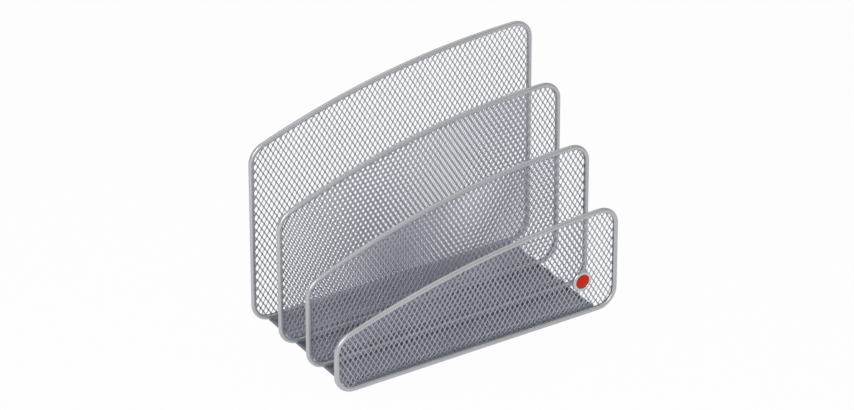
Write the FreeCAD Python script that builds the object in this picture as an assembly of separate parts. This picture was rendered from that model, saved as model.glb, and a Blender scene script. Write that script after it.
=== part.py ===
import FreeCAD, Part
import os
from math import atan2, cos, degrees, radians, sin, sqrt

# Letter sorter in painted steel: four upright panels standing one behind the other above one
# thin floor plate, which leave three slots open at both ends and at the top. Every panel is a
# mesh sheet in a folded steel rim. A narrow bar along each end of the plate holds the rims a
# little above it. Millimetres, +Z up, the tallest panel at the back (+Y), the origin on the
# table under the middle of the whole sorter.

os.makedirs("parts", exist_ok=True)

# ---- overall sizes ----
WIDTH = 180.0            # across the rims, left to right
PANELS = ("front", "second", "third", "rear")
PANEL_PITCH = 29.0       # from one panel to the next, front to back
RIM_LIFT = 1.5           # the rims hang this far above the table
FRONT_HEIGHT = 65.3      # highest point of the front panel above the table
HEIGHT_STEP = 25.1       # each panel behind is this much taller
CORNER_RADIUS = 12.0     # outer corners of every panel, in the panel's own plane

# The top edge of a panel is one long arc that climbs from left to right. CREST_X is where the
# arc is highest and TOP_RADIUS is its radius, front panel first.
CREST_X = (90.0, 82.0, 81.0, 80.0)
TOP_RADIUS = (550.0, 435.0, 455.0, 472.0)

# ---- folded rim: a strip rolled into a C that grips the edge of the mesh ----
RIM_WIDTH = 2.7          # in the plane of the panel
RIM_DEPTH = 2.5          # front to back
RIM_ROUND = 1.1          # radius along the long edges, so the rail is nearly a half round
RIM_WALL = 0.6           # thickness of the folded strip
CAVITY_ROUND = 0.5       # inner radius of the folds

# ---- mesh sheet ----
SHEET = 0.5              # thickness of the sheet, and so of the gap it sits in
EDGE_INSET = 1.0         # the sheet stops this far inside the outer outline, in the rim's hollow
FOLD_RADIUS = 9.0        # the lower edge turns to the rear round this radius
LAP = 4.0                # flat strip after the turn, spot-welded to the floor plate
SLIT = 0.3               # cut that frees both ends of the fold
FOLD_GAP = 0.3           # between the end of the fold and the bar beside it

# ---- floor plate, one for all three slots ----
PLATE = 0.5              # thickness; the plate lies on the table
PLATE_HALF = 78.7        # half its width, left to right
PLATE_SETBACK = 1.5      # plate and bars begin this far behind the front rim

# ---- bars on the two ends of the plate, under the rims ----
BAR_WIDTH = 1.4
BAR_ROUND = 0.3          # radius along the long edges

# ---- round badge on the front panel ----
BADGE_X = 66.6
BADGE_Z = 23.8
BADGE_RADIUS = 6.0
BADGE_THICK = 1.7
BADGE_EDGE_ROUND = 0.7
RECESS_RADIUS = 4.2
RECESS_DEPTH = 0.7
INLAY_GAP = 0.3          # round the inlay, inside the recess
INLAY_EDGE = 0.4         # height of the inlay at its edge
INLAY_CROWN = 1.0        # height of the inlay in the middle

ACROSS = FreeCAD.Vector(1, 0, 0)
BACK = FreeCAD.Vector(0, 1, 0)


def panel_y(i):
    """Depth position of the middle of panel i."""
    return (i - (len(PANELS) - 1) / 2.0) * PANEL_PITCH


def panel_height(i):
    return FRONT_HEIGHT + HEIGHT_STEP * i


def arc_between(center, radius, start_deg, end_deg, y):
    """Arc in an upright plane; the angles run from +X towards +Z."""
    def at(deg):
        a = radians(deg)
        return FreeCAD.Vector(center[0] + radius * cos(a), y, center[1] + radius * sin(a))
    return Part.Arc(at(start_deg), at((start_deg + end_deg) / 2.0), at(end_deg)).toShape()


def line(x0, z0, x1, z1, y):
    return Part.makeLine(FreeCAD.Vector(x0, y, z0), FreeCAD.Vector(x1, y, z1))


def panel_outline(i, inset, y):
    """Closed outline of panel i, moved inwards by inset, starting at the middle of the bottom.

    The corner arcs sit on the same centres whatever the inset, so outlines with different
    insets are true parallels of one another.
    """
    side = WIDTH / 2.0 - inset
    corner = CORNER_RADIUS - inset
    hub_x = WIDTH / 2.0 - CORNER_RADIUS
    crest_x = CREST_X[i]
    foot_z = RIM_LIFT + CORNER_RADIUS
    arc_z = panel_height(i) - TOP_RADIUS[i]
    top = TOP_RADIUS[i] - inset
    reach = TOP_RADIUS[i] - CORNER_RADIUS
    # hubs of the two upper corners: level with the tangent sides, inside the long arc
    right_z = arc_z + sqrt(reach ** 2 - (hub_x - crest_x) ** 2)
    left_z = arc_z + sqrt(reach ** 2 - (hub_x + crest_x) ** 2)
    right_end = degrees(atan2(right_z - arc_z, hub_x - crest_x))
    left_end = degrees(atan2(left_z - arc_z, -hub_x - crest_x))
    edges = [
        line(0, foot_z - corner, hub_x, foot_z - corner, y),
        arc_between((hub_x, foot_z), corner, -90, 0, y),
        line(side, foot_z, side, right_z, y),
        arc_between((hub_x, right_z), corner, 0, right_end, y),
        arc_between((crest_x, arc_z), top, right_end, left_end, y),
        arc_between((-hub_x, left_z), corner, left_end, 180, y),
        line(-side, left_z, -side, foot_z, y),
        arc_between((-hub_x, foot_z), corner, 180, 270, y),
        line(-hub_x, foot_z - corner, 0, foot_z - corner, y),
    ]
    return Part.Wire(edges)


def rounded_section(half_a, half_b, radius, point):
    """Rounded rectangle as a face; point(a, b) places its two flat coordinates in space."""
    edges = []
    corners = ((1, -1), (1, 1), (-1, 1), (-1, -1))
    for n in range(4):
        sa, sb = corners[n]
        ca, cb = sa * (half_a - radius), sb * (half_b - radius)
        first = (n - 1) * 90.0
        ring = []
        for deg in (first, first + 45.0, first + 90.0):
            ring.append(point(ca + radius * cos(radians(deg)), cb + radius * sin(radians(deg))))
        edges.append(Part.Arc(ring[0], ring[1], ring[2]).toShape())
    joined = []
    for n in range(4):
        joined.append(edges[n])
        joined.append(Part.makeLine(edges[n].Vertexes[-1].Point, edges[(n + 1) % 4].Vertexes[0].Point))
    return Part.Face(Part.Wire(joined))


def box_between(x0, x1, y0, y1, z0, z1):
    return Part.makeBox(x1 - x0, y1 - y0, z1 - z0, FreeCAD.Vector(x0, y0, z0))


def rim(i):
    """Folded rim of panel i: the C section swept once round the panel's outline."""
    y = panel_y(i)
    middle = RIM_WIDTH / 2.0
    middle_z = RIM_LIFT + middle

    def point(out, depth):
        # at the middle of the bottom rail the outward side of the section points down
        return FreeCAD.Vector(0, y + depth, middle_z - out)

    section = rounded_section(middle, RIM_DEPTH / 2.0, RIM_ROUND, point)
    hollow = rounded_section(middle - RIM_WALL, RIM_DEPTH / 2.0 - RIM_WALL, CAVITY_ROUND, point)
    mouth = box_between(-1, 1, y - SHEET / 2.0, y + SHEET / 2.0, middle_z, middle_z + RIM_WIDTH)
    c_shape = section.cut(hollow).cut(mouth).Faces[0]
    path = panel_outline(i, middle, y)
    return path.makePipe(c_shape)


def upright_sheet(i):
    """Flat part of the mesh sheet of panel i, its edge inside the hollow of the rim."""
    y = panel_y(i)
    face = Part.Face(panel_outline(i, EDGE_INSET, y - SHEET / 2.0))
    return face.extrude(BACK * SHEET)


def folded_sheet(i):
    """Sheet of one of the three front panels: upright, quarter turn and lap in one piece."""
    y = panel_y(i)
    half = PLATE_HALF - BAR_WIDTH - FOLD_GAP
    near, far = y - SHEET / 2.0, y + SHEET / 2.0
    hub_y = y + FOLD_RADIUS
    hub_z = PLATE + SHEET / 2.0 + FOLD_RADIUS
    hub = FreeCAD.Vector(-half, hub_y, hub_z)
    outside = Part.makeCylinder(FOLD_RADIUS + SHEET / 2.0, 2 * half, hub, ACROSS)
    inside = Part.makeCylinder(FOLD_RADIUS - SHEET / 2.0, 2 * half, hub, ACROSS)
    quarter = box_between(-half, half, near, hub_y, 0, hub_z)
    lap = box_between(-half, half, hub_y, hub_y + LAP, PLATE, PLATE + SHEET)
    window = box_between(-half - SLIT, half + SLIT, near, far, 0, hub_z)
    fold = outside.cut(inside).common(quarter).fuse(lap)
    return upright_sheet(i).cut(window).fuse(fold).removeSplitter()


def floor_plate():
    """Floor of all three slots: one flat plate that lies on the table."""
    front = panel_y(0) + RIM_DEPTH / 2.0 + PLATE_SETBACK
    rear = panel_y(len(PANELS) - 1) + RIM_DEPTH / 2.0
    return box_between(-PLATE_HALF, PLATE_HALF, front, rear, 0, PLATE)


def floor_bar(side):
    """Bar along one end of the plate; it fills the gap between the plate and the rims."""
    front = panel_y(0) + RIM_DEPTH / 2.0 + PLATE_SETBACK
    rear = panel_y(len(PANELS) - 1) + RIM_DEPTH / 2.0 - RIM_ROUND
    half_width = BAR_WIDTH / 2.0
    half_height = (RIM_LIFT - PLATE) / 2.0
    middle_x = side * (PLATE_HALF - half_width)

    def point(a, b):
        return FreeCAD.Vector(middle_x + a, front, PLATE + half_height + b)

    section = rounded_section(half_width, half_height, BAR_ROUND, point)
    return section.extrude(BACK * (rear - front))


def badge_bezel(back_y):
    """Round badge body with a shallow recess in its front and a rounded outer edge."""
    body = Part.makeCylinder(BADGE_RADIUS, BADGE_THICK,
                             FreeCAD.Vector(BADGE_X, back_y, BADGE_Z), -BACK)
    front_edges = []
    for edge in body.Edges:
        if abs(edge.BoundBox.YMin - edge.BoundBox.YMax) < 1e-6 and edge.BoundBox.YMax < back_y - 1:
            front_edges.append(edge)
    body = body.makeFillet(BADGE_EDGE_ROUND, front_edges)
    recess = Part.makeCylinder(RECESS_RADIUS, RECESS_DEPTH + 1,
                               FreeCAD.Vector(BADGE_X, back_y - BADGE_THICK + RECESS_DEPTH,
                                              BADGE_Z), -BACK)
    return body.cut(recess)


def badge_inlay(back_y):
    """Low dome set in the recess of the badge: a disc cut with a large sphere."""
    radius = RECESS_RADIUS - INLAY_GAP
    rise = INLAY_CROWN - INLAY_EDGE
    ball = (radius ** 2 + rise ** 2) / (2 * rise)
    seat = back_y - BADGE_THICK + RECESS_DEPTH
    disc = Part.makeCylinder(radius, INLAY_CROWN, FreeCAD.Vector(BADGE_X, seat, BADGE_Z), -BACK)
    dome = Part.makeSphere(ball, FreeCAD.Vector(BADGE_X, seat - INLAY_CROWN + ball, BADGE_Z))
    return disc.common(dome)


def save(shape, name):
    solid = shape if shape.ShapeType == "Solid" else shape.Solids[0]
    if len(shape.Solids) != 1 or not solid.isValid():
        raise RuntimeError("not one sound solid: " + name)
    box = solid.optimalBoundingBox()
    print("%-22s %7.2f %7.2f %7.2f  to %7.2f %7.2f %7.2f  volume %.0f" % (
        name, box.XMin, box.YMin, box.ZMin, box.XMax, box.YMax, box.ZMax, solid.Volume))
    solid.exportStep("parts/" + name + ".step")


for n, place in enumerate(PANELS):
    save(rim(n), "rim_" + place)
    if n < len(PANELS) - 1:
        save(folded_sheet(n), "mesh_" + place)
    else:
        save(upright_sheet(n), "mesh_" + place)

save(floor_plate(), "floor_plate")
save(floor_bar(-1), "floor_bar_left")
save(floor_bar(1), "floor_bar_right")

front_of_mesh = panel_y(0) - SHEET / 2.0
save(badge_bezel(front_of_mesh), "badge_bezel")
save(badge_inlay(front_of_mesh), "badge_inlay")
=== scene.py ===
# %% [markdown]
# # Mesh letter sorter
# Four upright panels of expanded metal stand one behind the other above one thin steel plate,
# each gripped by a folded steel rim. The meshes of the three front panels turn back at the
# bottom and lie on the plate, and a narrow bar along each of its two ends carries the rims.
# This lesson builds every piece again in finer form than the CAD solids show it, gives it its
# paint, and lights the whole on a plain table. All lengths are metres.

# %% Load the frame
from math import asin, atan2, cos, degrees, pi, radians, sin, sqrt

import bmesh
import bpy
from mathutils import Matrix, Vector


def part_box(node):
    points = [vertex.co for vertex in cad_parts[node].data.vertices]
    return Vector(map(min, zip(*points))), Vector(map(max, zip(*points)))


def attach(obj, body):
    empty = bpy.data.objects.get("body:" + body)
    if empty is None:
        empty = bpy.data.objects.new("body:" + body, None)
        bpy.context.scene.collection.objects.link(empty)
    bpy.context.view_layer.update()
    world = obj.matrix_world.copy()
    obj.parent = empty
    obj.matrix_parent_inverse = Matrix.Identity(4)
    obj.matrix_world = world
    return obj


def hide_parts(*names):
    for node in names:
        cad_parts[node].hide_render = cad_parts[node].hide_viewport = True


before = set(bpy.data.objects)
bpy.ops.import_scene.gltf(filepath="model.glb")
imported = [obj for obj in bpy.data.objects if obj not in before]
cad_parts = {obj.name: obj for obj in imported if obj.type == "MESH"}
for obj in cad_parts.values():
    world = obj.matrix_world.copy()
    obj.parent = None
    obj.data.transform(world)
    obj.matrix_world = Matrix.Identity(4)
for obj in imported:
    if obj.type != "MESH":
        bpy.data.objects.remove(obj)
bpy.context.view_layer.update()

MM = 0.001
print("CAD nodes:", sorted(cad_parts))

# %% [markdown]
# ## The outline of a panel
# Every panel has a straight foot, two upright sides, four round corners and a top edge that is
# one long arc climbing to the right. The rim follows this outline and the mesh is cut along it,
# so it is worked out once, as a few circle centres and angles. The measured boxes of the CAD
# rims give the width, the heights and the places of the panels.

# %% Sizes of the panels
PANELS = ("front", "second", "third", "rear")
CORNER = 12.0 * MM
CREST_X = (90.0 * MM, 82.0 * MM, 81.0 * MM, 80.0 * MM)
TOP_RADIUS = (550.0 * MM, 435.0 * MM, 455.0 * MM, 472.0 * MM)
FIRST_HEIGHT = 65.3 * MM
HEIGHT_STEP = 25.1 * MM

rim_boxes = [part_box("rim_" + name) for name in PANELS]
HALF_WIDTH = rim_boxes[0][1][0]
RIM_DEPTH = rim_boxes[0][1][1] - rim_boxes[0][0][1]
PANEL_Y = [(low[1] + high[1]) / 2 for low, high in rim_boxes]
RIM_LIFT = rim_boxes[0][0][2]
FOOT_Z = RIM_LIFT + CORNER
print("half width %.4f, rim depth %.4f, lift %.4f" % (HALF_WIDTH, RIM_DEPTH, RIM_LIFT))


# %% Centres and angles of an outline
def outline_of(panel):
    """Hubs of the upper corners, centre and end angles of the top arc of one panel."""
    hub_x = HALF_WIDTH - CORNER
    crest = CREST_X[panel]
    arc_z = FIRST_HEIGHT + HEIGHT_STEP * panel - TOP_RADIUS[panel]
    reach = TOP_RADIUS[panel] - CORNER
    right_z = arc_z + sqrt(reach ** 2 - (hub_x - crest) ** 2)
    left_z = arc_z + sqrt(reach ** 2 - (hub_x + crest) ** 2)
    return {
        "hub_x": hub_x, "crest": crest, "arc_z": arc_z, "radius": TOP_RADIUS[panel],
        "right_z": right_z, "left_z": left_z,
        "right_angle": atan2(right_z - arc_z, hub_x - crest),
        "left_angle": atan2(left_z - arc_z, -hub_x - crest),
    }


for number, name in enumerate(PANELS):
    shape = outline_of(number)
    print("%-7s corner hubs at z %.4f and %.4f" % (name, shape["left_z"], shape["right_z"]))

# %% [markdown]
# ## Turning a bmesh into a finished piece
# A piece must ride on the model's body, stand for its CAD node and carry its material. One
# helper does this for every piece, and also smooths the shading while keeping real edges crisp.


# %% Helper that finishes a piece
def finish_piece(bm, name, nodes, material, smooth_below=35.0):
    """Makes the object, shades it, hangs it on the root body and hides the CAD nodes it stands
    for.
    """
    mesh = bpy.data.meshes.new(name)
    bm.to_mesh(mesh)
    bm.free()
    mesh.shade_smooth()
    mesh.set_sharp_from_angle(angle=radians(smooth_below))
    mesh.materials.append(material)
    piece = bpy.data.objects.new(name, mesh)
    bpy.context.scene.collection.objects.link(piece)
    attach(piece, "root")
    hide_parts(*nodes)
    print("%-20s %6d faces" % (name, len(mesh.polygons)))


# %% [markdown]
# ## Silver-grey stove enamel
# The steel is dipped and baked in a satin silver-grey enamel. Its aluminium flakes give a soft
# metallic sheen and a very fine grain, and the coat has the slight orange peel that baked paint
# keeps. Everything comes from noise on Object coordinates, so the grain has a real size and
# stays on the metal from every side. The rims and the mesh share one recipe with two strengths.
# The mesh and floor copies carry a stronger bluish cast, and the floor copy is much darker:
# painted shade of the slots' insides, not colours of the enamel.


# %% Node helpers
GREEN_CAST = 0.012
BLUE_CAST = 0.05


def add_node(tree, kind, **settings):
    """New node with its sockets or its settings filled in by name."""
    node = tree.nodes.new(kind)
    for key, value in settings.items():
        if key in node.inputs:
            node.inputs[key].default_value = value
        else:
            setattr(node, key, value)
    return node


def grey(level, blue=1.0):
    """A grey with a cool cast; blue scales the cast, and values above 1 paint in cool shade."""
    return (level, level * (1 + GREEN_CAST * blue), level * (1 + BLUE_CAST * blue), 1.0)


print("a middle grey: %.3f %.3f %.3f" % grey(0.6)[:3])


# %% Recipe for the enamel
FLAKE_SCALE = 5200.0
CLOUD_SCALE = 38.0
PEEL_SCALE = 1100.0
FLAKE_SHARE = 0.55
DARK_END, LIGHT_END = 0.30, 0.70
ROUGHNESS_SWING = 0.06
GRAIN_HEIGHT = 0.04 * MM
PEEL_HEIGHT = 0.12 * MM
METAL_SHARE = 0.75


def silver_enamel(name, light, dark, roughness, grain_bump):
    """Satin flake enamel: colour between dark and light, grain and orange peel as bump."""
    material = bpy.data.materials.new(name)
    material.use_nodes = True
    tree = material.node_tree
    shader = tree.nodes["Principled BSDF"]
    place = add_node(tree, "ShaderNodeTexCoord")

    flakes = add_node(tree, "ShaderNodeTexNoise", Scale=FLAKE_SCALE, Detail=2.0, Roughness=0.6)
    clouds = add_node(tree, "ShaderNodeTexNoise", Scale=CLOUD_SCALE, Detail=4.0, Roughness=0.55)
    peel = add_node(tree, "ShaderNodeTexNoise", Scale=PEEL_SCALE, Detail=1.5, Roughness=0.5)
    for texture in (flakes, clouds, peel):
        tree.links.new(place.outputs["Object"], texture.inputs["Vector"])

    blend = add_node(tree, "ShaderNodeMath", operation="MULTIPLY_ADD")
    blend.inputs[1].default_value = FLAKE_SHARE
    tree.links.new(flakes.outputs["Fac"], blend.inputs[0])
    weak_clouds = add_node(tree, "ShaderNodeMath", operation="MULTIPLY")
    weak_clouds.inputs[1].default_value = 1.0 - FLAKE_SHARE
    tree.links.new(clouds.outputs["Fac"], weak_clouds.inputs[0])
    tree.links.new(weak_clouds.outputs[0], blend.inputs[2])

    colour = add_node(tree, "ShaderNodeValToRGB")
    colour.color_ramp.elements[0].position = DARK_END
    colour.color_ramp.elements[0].color = dark
    colour.color_ramp.elements[1].position = LIGHT_END
    colour.color_ramp.elements[1].color = light
    tree.links.new(blend.outputs[0], colour.inputs["Fac"])
    tree.links.new(colour.outputs["Color"], shader.inputs["Base Color"])

    rough = add_node(tree, "ShaderNodeMapRange")
    rough.inputs["To Min"].default_value = roughness - ROUGHNESS_SWING
    rough.inputs["To Max"].default_value = roughness + ROUGHNESS_SWING
    tree.links.new(clouds.outputs["Fac"], rough.inputs["Value"])
    tree.links.new(rough.outputs["Result"], shader.inputs["Roughness"])

    grain = add_node(tree, "ShaderNodeBump", Strength=grain_bump, Distance=GRAIN_HEIGHT)
    tree.links.new(flakes.outputs["Fac"], grain.inputs["Height"])
    skin = add_node(tree, "ShaderNodeBump", Strength=grain_bump, Distance=PEEL_HEIGHT)
    tree.links.new(peel.outputs["Fac"], skin.inputs["Height"])
    tree.links.new(grain.outputs["Normal"], skin.inputs["Normal"])
    tree.links.new(skin.outputs["Normal"], shader.inputs["Normal"])

    shader.inputs["Metallic"].default_value = METAL_SHARE
    return material


rim_paint = silver_enamel("rim enamel", grey(0.67), grey(0.57), 0.34, 0.20)
# The mesh copy's stronger bluish cast is painted cool shade.
cool_shaded_mesh_enamel = silver_enamel("enamel of the mesh, with painted cool shade", grey(0.64, 3.0), grey(0.52, 3.0), 0.34, 0.30)
print("paints:", rim_paint.name, "and", cool_shaded_mesh_enamel.name)

# %% [markdown]
# ## The folded rims
# A rim starts as a thin strip. Rolls fold it into a C, the edge of the mesh goes into the mouth
# of the C, and the lips are pressed shut on it. The whole thing is bent round the panel. So the
# mesh piece is made in the same way: a C drawn as a few points, its corners rounded with a
# bevel, then pushed along the straight sides with an extrude and round the corners with a spin.

# %% The C section
RIM_WIDTH = 2.7 * MM
STRIP = 0.6 * MM
MOUTH = 0.30 * MM
OUTER_ROUND = 1.1 * MM
INNER_ROUND = 0.85 * MM
LIP_ROUND = 0.08 * MM
SECTION_STEPS = (7, 6, 1)


def c_section(bm, panel):
    """Closed outline of the folded strip, upright at the middle of the bottom rail."""
    out, deep = RIM_WIDTH / 2, RIM_DEPTH / 2
    hollow_out, hollow_deep = out - STRIP, deep - STRIP
    corners = [
        (out, -deep), (out, deep), (-out, deep), (-out, MOUTH), (-hollow_out, MOUTH),
        (-hollow_out, hollow_deep), (hollow_out, hollow_deep),
        (hollow_out, -hollow_deep), (-hollow_out, -hollow_deep),
        (-hollow_out, -MOUTH), (-out, -MOUTH), (-out, -deep),
    ]
    dots = [bm.verts.new((0, PANEL_Y[panel] + v, RIM_LIFT + out - u)) for u, v in corners]
    bm.faces.new(dots)
    outer, inner, lips = dots[0:2], [dots[2], dots[11]], [dots[3], dots[10]]
    rounds = (OUTER_ROUND, INNER_ROUND, LIP_ROUND)
    for verts, radius, steps in zip((outer, inner, lips), rounds, SECTION_STEPS):
        bmesh.ops.bevel(bm, geom=verts, offset=radius, offset_type="OFFSET", segments=steps,
                        profile=0.5, affect="VERTICES", material=-1)
    face = max(bm.faces, key=lambda f: f.calc_area())
    edges = list(face.edges)
    bmesh.ops.delete(bm, geom=[face], context="FACES_ONLY")
    return edges


test = bmesh.new()
print("the outline of the C has", len(c_section(test, 0)), "edges")
test.free()


# %% Push and turn the section round the panel
def push(bm, edges, move):
    """Extrudes the ring of edges and moves the new ring; returns the new ring."""
    grown = bmesh.ops.extrude_edge_only(bm, edges=edges)["geom"]
    verts = [g for g in grown if isinstance(g, bmesh.types.BMVert)]
    bmesh.ops.translate(bm, verts=verts, vec=move)
    new_edges = [g for g in grown if isinstance(g, bmesh.types.BMEdge)]
    return [e for e in new_edges if all(v in verts for v in e.verts)]


def turn(bm, edges, center, angle, steps):
    """Spins the ring of edges about an axis that runs front to back."""
    verts = list(dict.fromkeys(v for e in edges for v in e.verts))
    spun = bmesh.ops.spin(bm, geom=edges + verts, cent=center, axis=(0, -1, 0), dvec=(0, 0, 0),
                          angle=angle, steps=steps, use_merge=False, use_normal_flip=False,
                          use_duplicate=False)["geom_last"]
    return [g for g in spun if isinstance(g, bmesh.types.BMEdge)]


test = bmesh.new()
ring = push(test, c_section(test, 0), (HALF_WIDTH, 0, 0))
print("one push makes", len(test.faces), "faces and ends in", len(ring), "edges")
test.free()


# %% Bend the rims
CORNER_STEPS = 10
LEFT_CORNER_STEPS = 8
TOP_STEPS = 40
RIM_SEAM = 0.01 * MM


def rim(panel):
    """Rim of one panel, pushed and turned counter-clockwise from the middle of its foot."""
    shape = outline_of(panel)
    y, hub_x = PANEL_Y[panel], shape["hub_x"]
    bm = bmesh.new()
    ring = c_section(bm, panel)
    ring = push(bm, ring, (hub_x, 0, 0))
    ring = turn(bm, ring, (hub_x, y, FOOT_Z), pi / 2, CORNER_STEPS)
    ring = push(bm, ring, (0, 0, shape["right_z"] - FOOT_Z))
    ring = turn(bm, ring, (hub_x, y, shape["right_z"]), shape["right_angle"], CORNER_STEPS)
    ring = turn(bm, ring, (shape["crest"], y, shape["arc_z"]),
                shape["left_angle"] - shape["right_angle"], TOP_STEPS)
    ring = turn(bm, ring, (-hub_x, y, shape["left_z"]), pi - shape["left_angle"],
                LEFT_CORNER_STEPS)
    ring = push(bm, ring, (0, 0, FOOT_Z - shape["left_z"]))
    ring = turn(bm, ring, (-hub_x, y, FOOT_Z), pi / 2, CORNER_STEPS)
    push(bm, ring, (hub_x, 0, 0))
    bmesh.ops.remove_doubles(bm, verts=bm.verts, dist=RIM_SEAM)
    bmesh.ops.recalc_face_normals(bm, faces=bm.faces)
    name = PANELS[panel]
    finish_piece(bm, "folded_rim_" + name, ["rim_" + name], rim_paint)


for number in range(len(PANELS)):
    rim(number)

# %% [markdown]
# ## One opening of the expanded metal
# Expanded metal is slit in a staggered pattern and pulled sideways, so every slit opens into a
# tall diamond, and the uncut bonds between them turn a little out of the plane. The openings
# fill the sheet like stretched honeycomb cells. One cell is drawn from a six-sided circle, an
# inset makes its opening, and the opening's sides are tipped, one forward and one back. The
# strands are about as thick as they are wide and stand askew like slats, so over a dark floor
# only their lit faces show as thin lines, and over white their dark flanks show as knots.

# %% The cell
CELL_WIDE = 3.2 * MM
CELL_TALL = 5.2 * MM
HOLE_HALF_WIDE = 1.06 * MM
HOLE_HALF_TALL = 2.20 * MM
HOLE_SIDE = 0.60 * MM
BOND_HALF = 0.40 * MM
TWIST = 0.22 * MM
STRAND_THICK = 0.50 * MM
FIRST_INSET = 0.2 * MM
NEAR_MIDDLE = 0.1 * MM


def is_tip(v):
    """True for the top and bottom points of a cell."""
    return abs(v.co.x) < NEAR_MIDDLE


def opening_cell(bm):
    """Six flat strands round one opening, centred on the origin in the XZ plane."""
    made = bmesh.ops.create_circle(bm, segments=6, radius=CELL_TALL / 2, cap_ends=True)
    bmesh.ops.rotate(bm, verts=made["verts"], cent=(0, 0, 0),
                     matrix=Matrix.Rotation(pi / 2, 3, "X"))
    for v in made["verts"]:
        tip = is_tip(v)
        v.co.x = 0.0 if tip else CELL_WIDE / 2 * (1 if v.co.x > 0 else -1)
        level = CELL_TALL / 2 - BOND_HALF if tip else BOND_HALF
        v.co.z = level * (1 if v.co.z > 0 else -1)
    bmesh.ops.inset_individual(bm, faces=bm.faces[:], thickness=FIRST_INSET,
                               use_even_offset=True)
    hole = min(bm.faces, key=lambda f: f.calc_center_median().length)
    for v in hole.verts:
        tip = is_tip(v)
        side = 0 if tip else (1 if v.co.x > 0 else -1)
        v.co.x = side * HOLE_HALF_WIDE
        v.co.z = (HOLE_HALF_TALL if tip else HOLE_SIDE) * (1 if v.co.z > 0 else -1)
        v.co.y = -side * TWIST
    bmesh.ops.delete(bm, geom=[hole], context="FACES_ONLY")


test = bmesh.new()
opening_cell(test)
print("one cell:", len(test.verts), "points,", len(test.faces), "faces")
test.free()

# %% [markdown]
# ## A field of openings
# The pattern repeats, so one cell is copied across and up by doubling: two become four, four
# become eight. Every second column is half a cell higher, so the unit that is doubled holds two
# cells. A slice takes off what is not needed, and where copies touch, their doubled points are
# merged into one sheet.


# %% Slice and copy
ON_PLANE = 0.0001 * MM
CELL_SEAM = 0.02 * MM


def slice_off(bm, point, outward):
    """Removes what lies beyond a plane."""
    everything = bm.verts[:] + bm.edges[:] + bm.faces[:]
    bmesh.ops.bisect_plane(bm, geom=everything, dist=ON_PLANE, plane_co=point,
                           plane_no=outward, clear_outer=True)


def shifted_copy(bm, move):
    """Copies every face in bm and moves the copy."""
    copy = bmesh.ops.duplicate(bm, geom=bm.faces[:])["geom"]
    verts = [g for g in copy if isinstance(g, bmesh.types.BMVert)]
    bmesh.ops.translate(bm, verts=verts, vec=move)


def fill(bm, step, length):
    """Doubles everything in bm along step until it covers the length, then cuts the rest."""
    covered = step.length
    while covered < length:
        shifted_copy(bm, step.normalized() * covered)
        covered *= 2
    slice_off(bm, step.normalized() * length, step)


def field_of_openings(x_low, x_high, z_low, z_high):
    """Merged sheet of cells that covers the given area, on the plane y = 0."""
    bm = bmesh.new()
    opening_cell(bm)
    shifted_copy(bm, (CELL_WIDE / 2, 0, CELL_TALL / 2))
    first_x = (int(x_low / CELL_WIDE) - 2) * CELL_WIDE
    first_z = (int(z_low / CELL_TALL) - 2) * CELL_TALL
    fill(bm, Vector((CELL_WIDE, 0, 0)), x_high - first_x)
    fill(bm, Vector((0, 0, CELL_TALL)), z_high - first_z)
    bmesh.ops.translate(bm, verts=bm.verts, vec=(first_x, 0, first_z))
    bmesh.ops.remove_doubles(bm, verts=bm.verts, dist=CELL_SEAM)
    return bm


test = field_of_openings(0, 4 * CELL_WIDE, 0, 4 * CELL_TALL)
print("a small field:", len(test.faces), "faces")
test.free()

# %% [markdown]
# ## Cutting the sheet to the panel
# The real sheet is stamped out along the panel's outline, strands and all. Here a plane slices
# it along each side and, in short steps, round each arc. The outline bulges outwards
# everywhere, so whatever lies outside any one of these planes can go. The cut edge ends up
# inside the hollow of the rim, as on the real one. The rim's lips press the relief of the mesh
# flat along the edge, so the tipping fades out towards the rim.

# %% Cut along the outline
GRIP = 0.9 * MM
TOP_CUTS = 14
CORNER_CUTS = 4
LEFT_CORNER_CUTS = 3


def slice_round(bm, center, radius, start, end, steps):
    """Slices along an arc; angles run from +X towards +Z."""
    for n in range(steps):
        a = start + (end - start) * (n + 0.5) / steps
        way = Vector((cos(a), 0, sin(a)))
        slice_off(bm, Vector(center) + way * radius, way)


def cut_to_outline(bm, panel):
    """Trims a sheet all round, a little inside the outline of its panel."""
    shape = outline_of(panel)
    hub_x, side, corner = shape["hub_x"], HALF_WIDTH - GRIP, CORNER - GRIP
    slice_off(bm, (side, 0, 0), (1, 0, 0))
    slice_off(bm, (-side, 0, 0), (-1, 0, 0))
    slice_off(bm, (0, 0, RIM_LIFT + GRIP), (0, 0, -1))
    slice_round(bm, (shape["crest"], 0, shape["arc_z"]), shape["radius"] - GRIP,
                shape["right_angle"], shape["left_angle"], TOP_CUTS)
    slice_round(bm, (hub_x, 0, shape["right_z"]), corner,
                0, shape["right_angle"], CORNER_CUTS)
    slice_round(bm, (-hub_x, 0, shape["left_z"]), corner,
                shape["left_angle"], pi, LEFT_CORNER_CUTS)
    slice_round(bm, (hub_x, 0, FOOT_Z), corner, -pi / 2, 0, CORNER_CUTS)
    slice_round(bm, (-hub_x, 0, FOOT_Z), corner, pi, 3 * pi / 2, CORNER_CUTS)


print("the sheet ends %.1f mm inside the outline" % (GRIP / MM))


# %% How far a point is inside the outline
FADE = 0.8 * MM


def depth_inside(shape, x, z):
    """Distance from the outline of a panel to a point inside it."""
    hub_x = shape["hub_x"]
    for way, hub_z in ((1, shape["right_z"]), (-1, shape["left_z"])):
        if way * x > hub_x and z > hub_z:
            return CORNER - sqrt((way * x - hub_x) ** 2 + (z - hub_z) ** 2)
    if abs(x) > hub_x and z < FOOT_Z:
        return CORNER - sqrt((abs(x) - hub_x) ** 2 + (z - FOOT_Z) ** 2)
    top = shape["radius"] - sqrt((x - shape["crest"]) ** 2 + (z - shape["arc_z"]) ** 2)
    return min(HALF_WIDTH - abs(x), z - RIM_LIFT, top)


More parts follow.
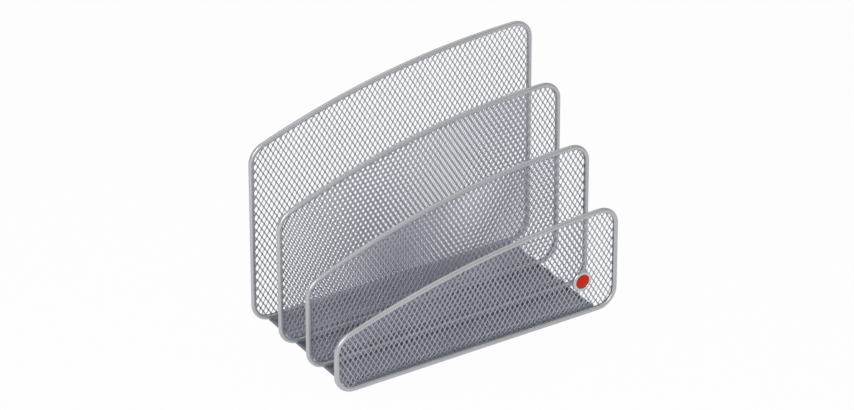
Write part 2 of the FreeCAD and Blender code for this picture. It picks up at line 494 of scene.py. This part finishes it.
def press_edge(bm, panel):
    """Flattens the relief where the rim grips the sheet."""
    shape = outline_of(panel)
    for v in bm.verts:
        free = (depth_inside(shape, v.co.x, v.co.z) - RIM_WIDTH) / FADE
        v.co.y *= min(max(free, 0.0), 1.0)


depth = depth_inside(outline_of(0), 0.0, FIRST_HEIGHT / 2)
print("the middle of the front panel is %.1f mm inside" % (depth / MM))


# %% [markdown]
# ## The fold
# The sheets of the three front panels are longer than the panel is high. Between the two lower
# corners they turn backwards through a quarter circle and end in a lap, spot-welded to the floor
# plate. A flat tongue of the same pattern is cut out below the panel and rolled round the bend
# point by point, so the openings run through the fold.

# %% Roll the tongue
FOLD_RADIUS = 9.0 * MM
LAP = 4.0 * MM
PLATE_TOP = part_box("floor_plate")[1][2]
LAP_Z = PLATE_TOP + STRAND_THICK / 2
FOLD_TOP = LAP_Z + FOLD_RADIUS
TURN_LENGTH = FOLD_RADIUS * pi / 2
FOLD_HALF = 77.0 * MM
SLIT_HALF = 77.3 * MM


def tongue_below():
    """Flat strip below the fold line, as long as the turn and the lap together."""
    foot = FOLD_TOP - TURN_LENGTH - LAP
    bm = field_of_openings(-FOLD_HALF, FOLD_HALF, foot, FOLD_TOP)
    slice_off(bm, (0, 0, foot), (0, 0, -1))
    slice_off(bm, (-FOLD_HALF, 0, 0), (-1, 0, 0))
    return bm


def roll_round(bm):
    """Bends the tongue backwards; the relief fades out into the lap."""
    for v in bm.verts:
        run = FOLD_TOP - v.co.z
        lift = v.co.y * max(0.0, 1.0 - run / TURN_LENGTH)
        angle = min(run / FOLD_RADIUS, pi / 2)
        arm = FOLD_RADIUS - lift
        v.co.y = FOLD_RADIUS - arm * cos(angle) + max(0.0, run - TURN_LENGTH)
        v.co.z = FOLD_TOP - arm * sin(angle)


print("the fold starts %.1f mm up and takes %.1f mm of sheet"
      % (FOLD_TOP / MM, (TURN_LENGTH + LAP) / MM))


# %% Open the sheet and add the tongue
def open_window(bm):
    """Takes the flat sheet away between the lower corners, where the fold comes in."""
    for point, way in (((0, 0, FOLD_TOP), (0, 0, 1)), ((SLIT_HALF, 0, 0), (1, 0, 0)),
                       ((-SLIT_HALF, 0, 0), (1, 0, 0))):
        everything = bm.verts[:] + bm.edges[:] + bm.faces[:]
        bmesh.ops.bisect_plane(bm, geom=everything, dist=ON_PLANE, plane_co=point,
                               plane_no=way)
    window = []
    for f in bm.faces:
        middle = f.calc_center_median()
        if middle.z < FOLD_TOP and abs(middle.x) < SLIT_HALF:
            window.append(f)
    bmesh.ops.delete(bm, geom=window, context="FACES")


def join(bm, other):
    """Adds everything in other to bm."""
    carrier = bpy.data.meshes.new("carrier")
    other.to_mesh(carrier)
    other.free()
    bm.from_mesh(carrier)
    bpy.data.meshes.remove(carrier)


print("the opening for the fold is %.1f mm wide" % (2 * SLIT_HALF / MM))


# %% Make the sheets
SLIVER = 0.01 * MM


def mesh_sheet(panel):
    """Mesh of one panel, with its fold and lap where it has them."""
    top = FIRST_HEIGHT + HEIGHT_STEP * panel
    bm = field_of_openings(-HALF_WIDTH, HALF_WIDTH, 0, top)
    cut_to_outline(bm, panel)
    press_edge(bm, panel)
    if panel < len(PANELS) - 1:
        open_window(bm)
        tongue = tongue_below()
        roll_round(tongue)
        join(bm, tongue)
    bmesh.ops.remove_doubles(bm, verts=bm.verts, dist=CELL_SEAM)
    bmesh.ops.dissolve_degenerate(bm, edges=bm.edges, dist=SLIVER)
    bmesh.ops.translate(bm, verts=bm.verts, vec=(0, PANEL_Y[panel] - STRAND_THICK / 2, 0))
    bmesh.ops.recalc_face_normals(bm, faces=bm.faces)
    bm.normal_update()
    bmesh.ops.solidify(bm, geom=bm.faces[:], thickness=STRAND_THICK)
    bmesh.ops.recalc_face_normals(bm, faces=bm.faces)
    name = PANELS[panel]
    finish_piece(bm, "expanded_mesh_" + name, ["mesh_" + name], cool_shaded_mesh_enamel)


for number in range(len(PANELS)):
    mesh_sheet(number)

# %% [markdown]
# ## Floor plate
# One thin plate lies on the table as the floor of all three slots. Its front edge stays just
# behind the front rim. Guillotined steel keeps thin edges that the paint rounds off, so a box
# as big as the CAD plate gets a very small bevel.

# %% Floor plate
PLATE_EDGE = 0.12 * MM
PLATE_STEPS = 3
# The floor enamel is the rims' enamel made darker and bluer: painted shade inside the slots.
shade_darkened_floor_enamel = silver_enamel("enamel of the floor, with painted shade", grey(0.38, 3.6), grey(0.30, 3.6), 0.46, 0.30)


def block_between(low, high, edges_of, radius, steps):
    """Box between two corners with some of its edges rounded."""
    bm = bmesh.new()
    bmesh.ops.create_cube(bm, size=1.0)
    bmesh.ops.scale(bm, verts=bm.verts, vec=high - low)
    bmesh.ops.translate(bm, verts=bm.verts, vec=(low + high) / 2)
    bmesh.ops.bevel(bm, geom=edges_of(bm), offset=radius, segments=steps, profile=0.5,
                    affect="EDGES", material=-1)
    return bm


low, high = (Vector(corner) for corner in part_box("floor_plate"))
plate_shape = block_between(low, high, lambda bm: bm.edges[:], PLATE_EDGE,
                            PLATE_STEPS)
finish_piece(plate_shape, "slot_floor", ["floor_plate"], shade_darkened_floor_enamel)

# %% [markdown]
# ## Floor bars
# A narrow flat bar lies along each end of the plate and the rims stand on it, welded down. It
# leaves a dark gap of its own height under every rim. Drawn bar has rounded long edges and
# plain cut ends, so only the four long edges are bevelled.

# %% Floor bars
BAR_ROUND = 0.3 * MM
BAR_STEPS = 4


def long_edges(bm):
    """The edges that run front to back."""
    long = []
    for e in bm.edges:
        run = e.verts[1].co - e.verts[0].co
        if abs(run.y) > max(abs(run.x), abs(run.z)):
            long.append(e)
    return long


def floor_bar(end):
    """One bar as big as its CAD node."""
    node = "floor_bar_" + end
    low, high = (Vector(corner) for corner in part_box(node))
    bm = block_between(low, high, long_edges, BAR_ROUND, BAR_STEPS)
    # The bars share the darkened floor enamel, a painted shade.
    finish_piece(bm, "flat_bar_" + end, [node], shade_darkened_floor_enamel)


for end in ("left", "right"):
    floor_bar(end)

# %% [markdown]
# ## The badge
# A small round badge sits on the mesh near the lower right corner: a plated bezel with a low
# dome of red enamel in it. Both are bodies of revolution, so a profile is spun once round.

# %% Badge shapes
bezel_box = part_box("badge_bezel")
badge_axis = (Vector(bezel_box[0]) + Vector(bezel_box[1])) / 2
BADGE_BACK = bezel_box[1][1]
BADGE_STEPS = 64
BADGE_SEAM = 0.005 * MM
BADGE_CREASE = 40.0


def spun(points, name, node, slot, material):
    """Spins (radius, forward) points about the badge's axis."""
    bm = bmesh.new()
    dots = []
    for radius, forward in points:
        dots.append(bm.verts.new((badge_axis.x + radius, BADGE_BACK - forward, badge_axis.z)))
    edges = [bm.edges.new(pair) for pair in zip(dots, dots[1:])]
    bmesh.ops.spin(bm, geom=dots + edges, cent=(badge_axis.x, 0, badge_axis.z), axis=(0, 1, 0),
                   dvec=(0, 0, 0), angle=2 * pi, steps=BADGE_STEPS, use_merge=True,
                   use_normal_flip=False, use_duplicate=False)
    bmesh.ops.remove_doubles(bm, verts=bm.verts, dist=BADGE_SEAM)
    bmesh.ops.recalc_face_normals(bm, faces=bm.faces)
    finish_piece(bm, name, [node], material, smooth_below=BADGE_CREASE)


def arc_points(center, radius, start, end, steps):
    """Points along an arc of a profile; angles in degrees from outwards to forwards."""
    points = []
    for n in range(steps + 1):
        a = radians(start + (end - start) * n / steps)
        points.append((center[0] + radius * cos(a), center[1] + radius * sin(a)))
    return points


print("badge axis at x %.1f mm, z %.1f mm" % (badge_axis.x / MM, badge_axis.z / MM))


# %% Badge materials
PLATING_ROUGH = (0.16, 0.28)
INLAY_ROUGH = 0.25
INLAY_GLINT = 0.20
RIPPLE_HEIGHT = 0.1 * MM


def plated_metal():
    """Bright plating with faint brush marks."""
    material = bpy.data.materials.new("badge plating")
    material.use_nodes = True
    tree = material.node_tree
    shader = tree.nodes["Principled BSDF"]
    place = add_node(tree, "ShaderNodeTexCoord")
    brush = add_node(tree, "ShaderNodeTexNoise", Scale=900.0, Detail=3.0)
    tree.links.new(place.outputs["Object"], brush.inputs["Vector"])
    colour = add_node(tree, "ShaderNodeValToRGB")
    colour.color_ramp.elements[0].color = (0.66, 0.66, 0.68, 1)
    colour.color_ramp.elements[1].color = (0.80, 0.80, 0.82, 1)
    tree.links.new(brush.outputs["Fac"], colour.inputs["Fac"])
    tree.links.new(colour.outputs["Color"], shader.inputs["Base Color"])
    rough = add_node(tree, "ShaderNodeMapRange")
    rough.inputs["To Min"].default_value = PLATING_ROUGH[0]
    rough.inputs["To Max"].default_value = PLATING_ROUGH[1]
    tree.links.new(brush.outputs["Fac"], rough.inputs["Value"])
    tree.links.new(rough.outputs["Result"], shader.inputs["Roughness"])
    shader.inputs["Metallic"].default_value = 1.0
    return material


def red_enamel():
    """Glossy red that varies a little in depth, with a slight ripple."""
    material = bpy.data.materials.new("badge enamel")
    material.use_nodes = True
    tree = material.node_tree
    shader = tree.nodes["Principled BSDF"]
    place = add_node(tree, "ShaderNodeTexCoord")
    depth = add_node(tree, "ShaderNodeTexNoise", Scale=700.0, Detail=2.0)
    tree.links.new(place.outputs["Object"], depth.inputs["Vector"])
    colour = add_node(tree, "ShaderNodeValToRGB")
    colour.color_ramp.elements[0].color = (0.60, 0.010, 0.001, 1)
    colour.color_ramp.elements[1].color = (0.74, 0.026, 0.002, 1)
    tree.links.new(depth.outputs["Fac"], colour.inputs["Fac"])
    tree.links.new(colour.outputs["Color"], shader.inputs["Base Color"])
    ripple = add_node(tree, "ShaderNodeBump", Strength=0.08, Distance=RIPPLE_HEIGHT)
    tree.links.new(depth.outputs["Fac"], ripple.inputs["Height"])
    tree.links.new(ripple.outputs["Normal"], shader.inputs["Normal"])
    shader.inputs["Roughness"].default_value = INLAY_ROUGH
    shader.inputs["Specular IOR Level"].default_value = INLAY_GLINT
    return material


plating, inlay_paint = plated_metal(), red_enamel()
print("badge finishes:", plating.name, "and", inlay_paint.name)

# %% Make the badge
BEZEL_RADIUS = 6.0 * MM
BEZEL_THICK = 1.7 * MM
BEZEL_ROUND = 0.7 * MM
RECESS = 4.2 * MM
RECESS_ROUND = 0.2 * MM
RECESS_FLOOR = 1.0 * MM
bezel_profile = [(0, 0), (BEZEL_RADIUS, 0)]
bezel_profile += arc_points((BEZEL_RADIUS - BEZEL_ROUND, BEZEL_THICK - BEZEL_ROUND),
                            BEZEL_ROUND, 0, 90, steps=6)
bezel_profile += arc_points((RECESS + RECESS_ROUND, BEZEL_THICK - RECESS_ROUND),
                            RECESS_ROUND, 90, 180, steps=3)
bezel_profile += [(RECESS, RECESS_FLOOR), (0, RECESS_FLOOR)]
spun(bezel_profile, "badge_ring", "badge_bezel", "badge_metal", plating)

INLAY_RADIUS = 4.1 * MM
INLAY_EDGE = 0.4 * MM
INLAY_RISE = 0.6 * MM
dome_radius = (INLAY_RADIUS ** 2 + INLAY_RISE ** 2) / (2 * INLAY_RISE)
dome_center = (0, RECESS_FLOOR + INLAY_EDGE + INLAY_RISE - dome_radius)
edge_angle = degrees(asin((dome_radius - INLAY_RISE) / dome_radius))
inlay_profile = [(0, RECESS_FLOOR), (INLAY_RADIUS, RECESS_FLOOR)]
inlay_profile += arc_points(dome_center, dome_radius, edge_angle, 90, steps=10)
spun(inlay_profile, "badge_dome", "badge_inlay", "badge_enamel", inlay_paint)

# %% [markdown]
# ## Table, light and camera
# The sorter stands on a plain white table in soft studio light: a softbox at the front left, a
# weaker one overhead, and an even pale surround. The table and the surround show white to the
# camera, while the light that falls on the metal stays moderate. The metal mirrors the lit table
# with a little of that white, so faces turned to the table are brighter than the tops of the
# rims, and the shadow at the foot stays dark. The table lies a hair below the plate, because two
# surfaces at exactly the same height would flicker. The long lens stands well back and looks
# down from the front left.


# %% White table
GLOW = 0.96
GLOSSY_SHARE = 0.18
TABLE_DROP = 0.05 * MM
TABLE_HALF = 4.0
TABLE_WHITE = (0.92, 0.92, 0.92, 1)


def white_table():
    """Matt table that glows white to the camera and a little in the metal."""
    bm = bmesh.new()
    bmesh.ops.create_grid(bm, x_segments=1, y_segments=1, size=TABLE_HALF)
    bmesh.ops.translate(bm, verts=bm.verts, vec=(0, 0, -TABLE_DROP))
    mesh = bpy.data.meshes.new("table")
    bm.to_mesh(mesh)
    bm.free()
    table = bpy.data.objects.new("table", mesh)
    bpy.context.scene.collection.objects.link(table)
    material = bpy.data.materials.new("table white")
    material.use_nodes = True
    tree = material.node_tree
    tree.nodes.clear()
    out = add_node(tree, "ShaderNodeOutputMaterial")
    matt = add_node(tree, "ShaderNodeBsdfDiffuse", Color=TABLE_WHITE)
    glow = add_node(tree, "ShaderNodeEmission", Color=(1, 1, 1, 1), Strength=1.0)
    path = add_node(tree, "ShaderNodeLightPath")
    mirrored = add_node(tree, "ShaderNodeMath", operation="MULTIPLY")
    mirrored.inputs[1].default_value = GLOSSY_SHARE
    tree.links.new(path.outputs["Is Glossy Ray"], mirrored.inputs[0])
    share = add_node(tree, "ShaderNodeMath", operation="MULTIPLY_ADD")
    share.inputs[1].default_value = GLOW
    tree.links.new(path.outputs["Is Camera Ray"], share.inputs[0])
    tree.links.new(mirrored.outputs[0], share.inputs[2])
    mix = add_node(tree, "ShaderNodeMixShader")
    tree.links.new(share.outputs[0], mix.inputs["Fac"])
    tree.links.new(matt.outputs[0], mix.inputs[1])
    tree.links.new(glow.outputs[0], mix.inputs[2])
    tree.links.new(mix.outputs[0], out.inputs["Surface"])
    mesh.materials.append(material)


white_table()
print("table half a side %.1f m, %.2f mm below the plate" % (TABLE_HALF, TABLE_DROP / MM))


# %% Surround
SURROUND = 0.38
SHINE_SHARE = 0.42


def pale_surround():
    """Even light from all round: white to the camera, a little stronger in reflections."""
    world = bpy.data.worlds.new("surround")
    bpy.context.scene.world = world
    world.use_nodes = True
    tree = world.node_tree
    tree.nodes.clear()
    path = add_node(tree, "ShaderNodeLightPath")
    shine = add_node(tree, "ShaderNodeMath", operation="MULTIPLY_ADD")
    shine.inputs[1].default_value = SHINE_SHARE
    tree.links.new(path.outputs["Is Glossy Ray"], shine.inputs[0])
    tree.links.new(path.outputs["Is Camera Ray"], shine.inputs[2])
    strength = add_node(tree, "ShaderNodeMath", operation="MAXIMUM")
    strength.inputs[1].default_value = SURROUND
    tree.links.new(shine.outputs[0], strength.inputs[0])
    glow = add_node(tree, "ShaderNodeBackground", Color=(1, 1, 1, 1))
    tree.links.new(strength.outputs[0], glow.inputs["Strength"])
    out = add_node(tree, "ShaderNodeOutputWorld")
    tree.links.new(glow.outputs[0], out.inputs["Surface"])


pale_surround()
print("surround %.2f, %.2f in reflections" % (SURROUND, SHINE_SHARE))


# %% Softboxes
LIGHT_AIM = Vector((0, 0, 0.05))


def softbox(name, place, size, power):
    """Square lamp that faces the lower part of the sorter."""
    lamp = bpy.data.lights.new(name, "AREA")
    lamp.shape = "SQUARE"
    lamp.size = size
    lamp.energy = power
    thing = bpy.data.objects.new(name, lamp)
    thing.location = place
    thing.rotation_euler = (LIGHT_AIM - Vector(place)).to_track_quat("-Z", "Y").to_euler()
    bpy.context.scene.collection.objects.link(thing)
    print("%s softbox, %.1f m wide, %.1f W" % (name, size, power))


softbox("key", (-0.9, -0.9, 0.9), size=1.0, power=11.5)
softbox("fill", (0.2, 0.5, 1.4), size=1.4, power=3.0)

# %% Camera
AZIMUTH = radians(-32.1)
ELEVATION = radians(29.96)
IMAGE_WIDE = 854
FOCAL_PIXELS = 4771.9
SENSOR_WIDE = 36.0
DISTANCE = 2574.1 * MM
AIM = Vector((-3.3 * MM, 2.5 * MM, 70.0 * MM))

back = Vector((sin(AZIMUTH) * cos(ELEVATION), -cos(AZIMUTH) * cos(ELEVATION), sin(ELEVATION)))
lens = bpy.data.cameras.new("camera")
lens.sensor_fit = "HORIZONTAL"
lens.sensor_width = SENSOR_WIDE
lens.lens = FOCAL_PIXELS / IMAGE_WIDE * SENSOR_WIDE
lens.clip_start = 0.1
lens.clip_end = 20.0
camera = bpy.data.objects.new("camera", lens)
camera.location = AIM + back * DISTANCE
camera.rotation_euler = (-back).to_track_quat("-Z", "Y").to_euler()
bpy.context.scene.collection.objects.link(camera)
bpy.context.scene.camera = camera
bpy.context.scene.view_settings.view_transform = "Standard"
print("lens %.0f mm at %.2f m" % (lens.lens, DISTANCE))
